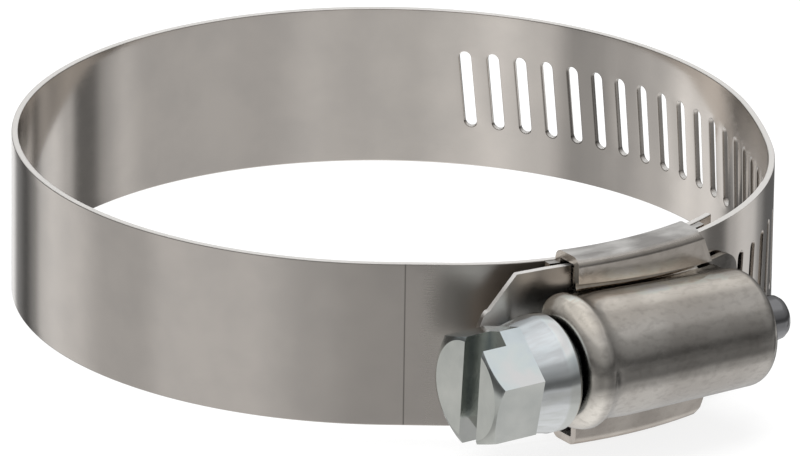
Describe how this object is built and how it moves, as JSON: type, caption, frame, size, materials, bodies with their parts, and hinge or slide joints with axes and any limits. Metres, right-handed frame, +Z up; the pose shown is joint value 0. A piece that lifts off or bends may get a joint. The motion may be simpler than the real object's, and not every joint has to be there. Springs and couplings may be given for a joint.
{
  "type": "hose clamp",
  "caption": "Worm-drive hose clamp: a slotted steel band round an open bore, tightened by a collared hex-head screw in a formed housing.",
  "frame": {"origin": "middle of the bottom of the bounding box, on the floor plane, with the bore vertical", "axes": "+Z up along the bore; the housing and its screw are on the -Y side; the screw's head points to -X and its tip to +X"},
  "size_m": [0.0568, 0.0682, 0.0147],
  "materials": {
    "band_steel": "bright rolled stainless strip, semi-mirror, with sheared edges",
    "formed_steel": "pressed stainless sheet, satin, with drawn marks at the bends",
    "zinc_plate": "bright zinc plate over turned steel"
  },
  "bodies": {
    "housing_and_saddle": {"housing": "formed_steel", "saddle": "formed_steel"},
    "screw": {"worm_screw": "zinc_plate"},
    "strip": {"band_tail_strip": "band_steel"},
    "link_1": {"band_link_1": "band_steel"},
    "link_2": {"band_link_2": "band_steel"},
    "link_3": {"band_link_3": "band_steel"},
    "link_4": {"band_link_4": "band_steel"},
    "link_5": {"band_link_5": "band_steel"},
    "link_6": {"band_link_6": "band_steel"},
    "link_7": {"band_link_7": "band_steel"},
    "fixed_end": {"band_fixed_end": "band_steel"}
  },
  "joints": [
    {"name": "screw_turn", "type": "hinge", "parent": "housing_and_saddle", "child": "screw", "pos_m": [0, -0.02905, 0.00765], "axis": [1, 0, 0], "range_deg": [0, 2880]},
    {"name": "strip_feed", "type": "hinge", "parent": "housing_and_saddle", "child": "strip", "pos_m": [0, 0.0007, 0.00735], "axis": [0, 0, -1], "range_deg": [0, 40]},
    {"name": "band_flex_1", "type": "hinge", "parent": "strip", "child": "link_1", "pos_m": [0.02271, -0.01207, 0.00735], "axis": [0, 0, 1], "range_deg": [0, 8.2]},
    {"name": "band_flex_2", "type": "hinge", "parent": "link_1", "child": "link_2", "pos_m": [0.0281, 0.00733, 0.00735], "axis": [0, 0, 1], "range_deg": [0, 4.5]},
    {"name": "band_flex_3", "type": "hinge", "parent": "link_2", "child": "link_3", "pos_m": [0.01994, 0.02557, 0.00735], "axis": [0, 0, 1], "range_deg": [0, 3.2]},
    {"name": "band_flex_4", "type": "hinge", "parent": "link_3", "child": "link_4", "pos_m": [0.00297, 0.03369, 0.00735], "axis": [0, 0, 1], "range_deg": [0, 3.8]},
    {"name": "band_flex_5", "type": "hinge", "parent": "link_4", "child": "link_5", "pos_m": [-0.01532, 0.02931, 0.00735], "axis": [0, 0, 1], "range_deg": [0, 4]},
    {"name": "band_flex_6", "type": "hinge", "parent": "link_5", "child": "link_6", "pos_m": [-0.02678, 0.01439, 0.00735], "axis": [0, 0, 1], "range_deg": [0, 3.7]},
    {"name": "band_flex_7", "type": "hinge", "parent": "link_6", "child": "link_7", "pos_m": [-0.02627, -0.00441, 0.00735], "axis": [0, 0, 1], "range_deg": [0, 5]},
    {"name": "band_flex_8", "type": "hinge", "parent": "link_7", "child": "fixed_end", "pos_m": [-0.01409, -0.01878, 0.00735], "axis": [0, 0, 1], "range_deg": [0, 8.3]}
  ],
  "couplings": [
    {"joint": "strip_feed", "follows": "screw_turn", "ratio": 0.013869},
    {"joint": "band_flex_1", "follows": "screw_turn", "ratio": 0.0027988},
    {"joint": "band_flex_2", "follows": "screw_turn", "ratio": 0.0015414},
    {"joint": "band_flex_3", "follows": "screw_turn", "ratio": 0.0010835},
    {"joint": "band_flex_4", "follows": "screw_turn", "ratio": 0.001276},
    {"joint": "band_flex_5", "follows": "screw_turn", "ratio": 0.0013603},
    {"joint": "band_flex_6", "follows": "screw_turn", "ratio": 0.0012655},
    {"joint": "band_flex_7", "follows": "screw_turn", "ratio": 0.001695},
    {"joint": "band_flex_8", "follows": "screw_turn", "ratio": 0.0028482}
  ]
}
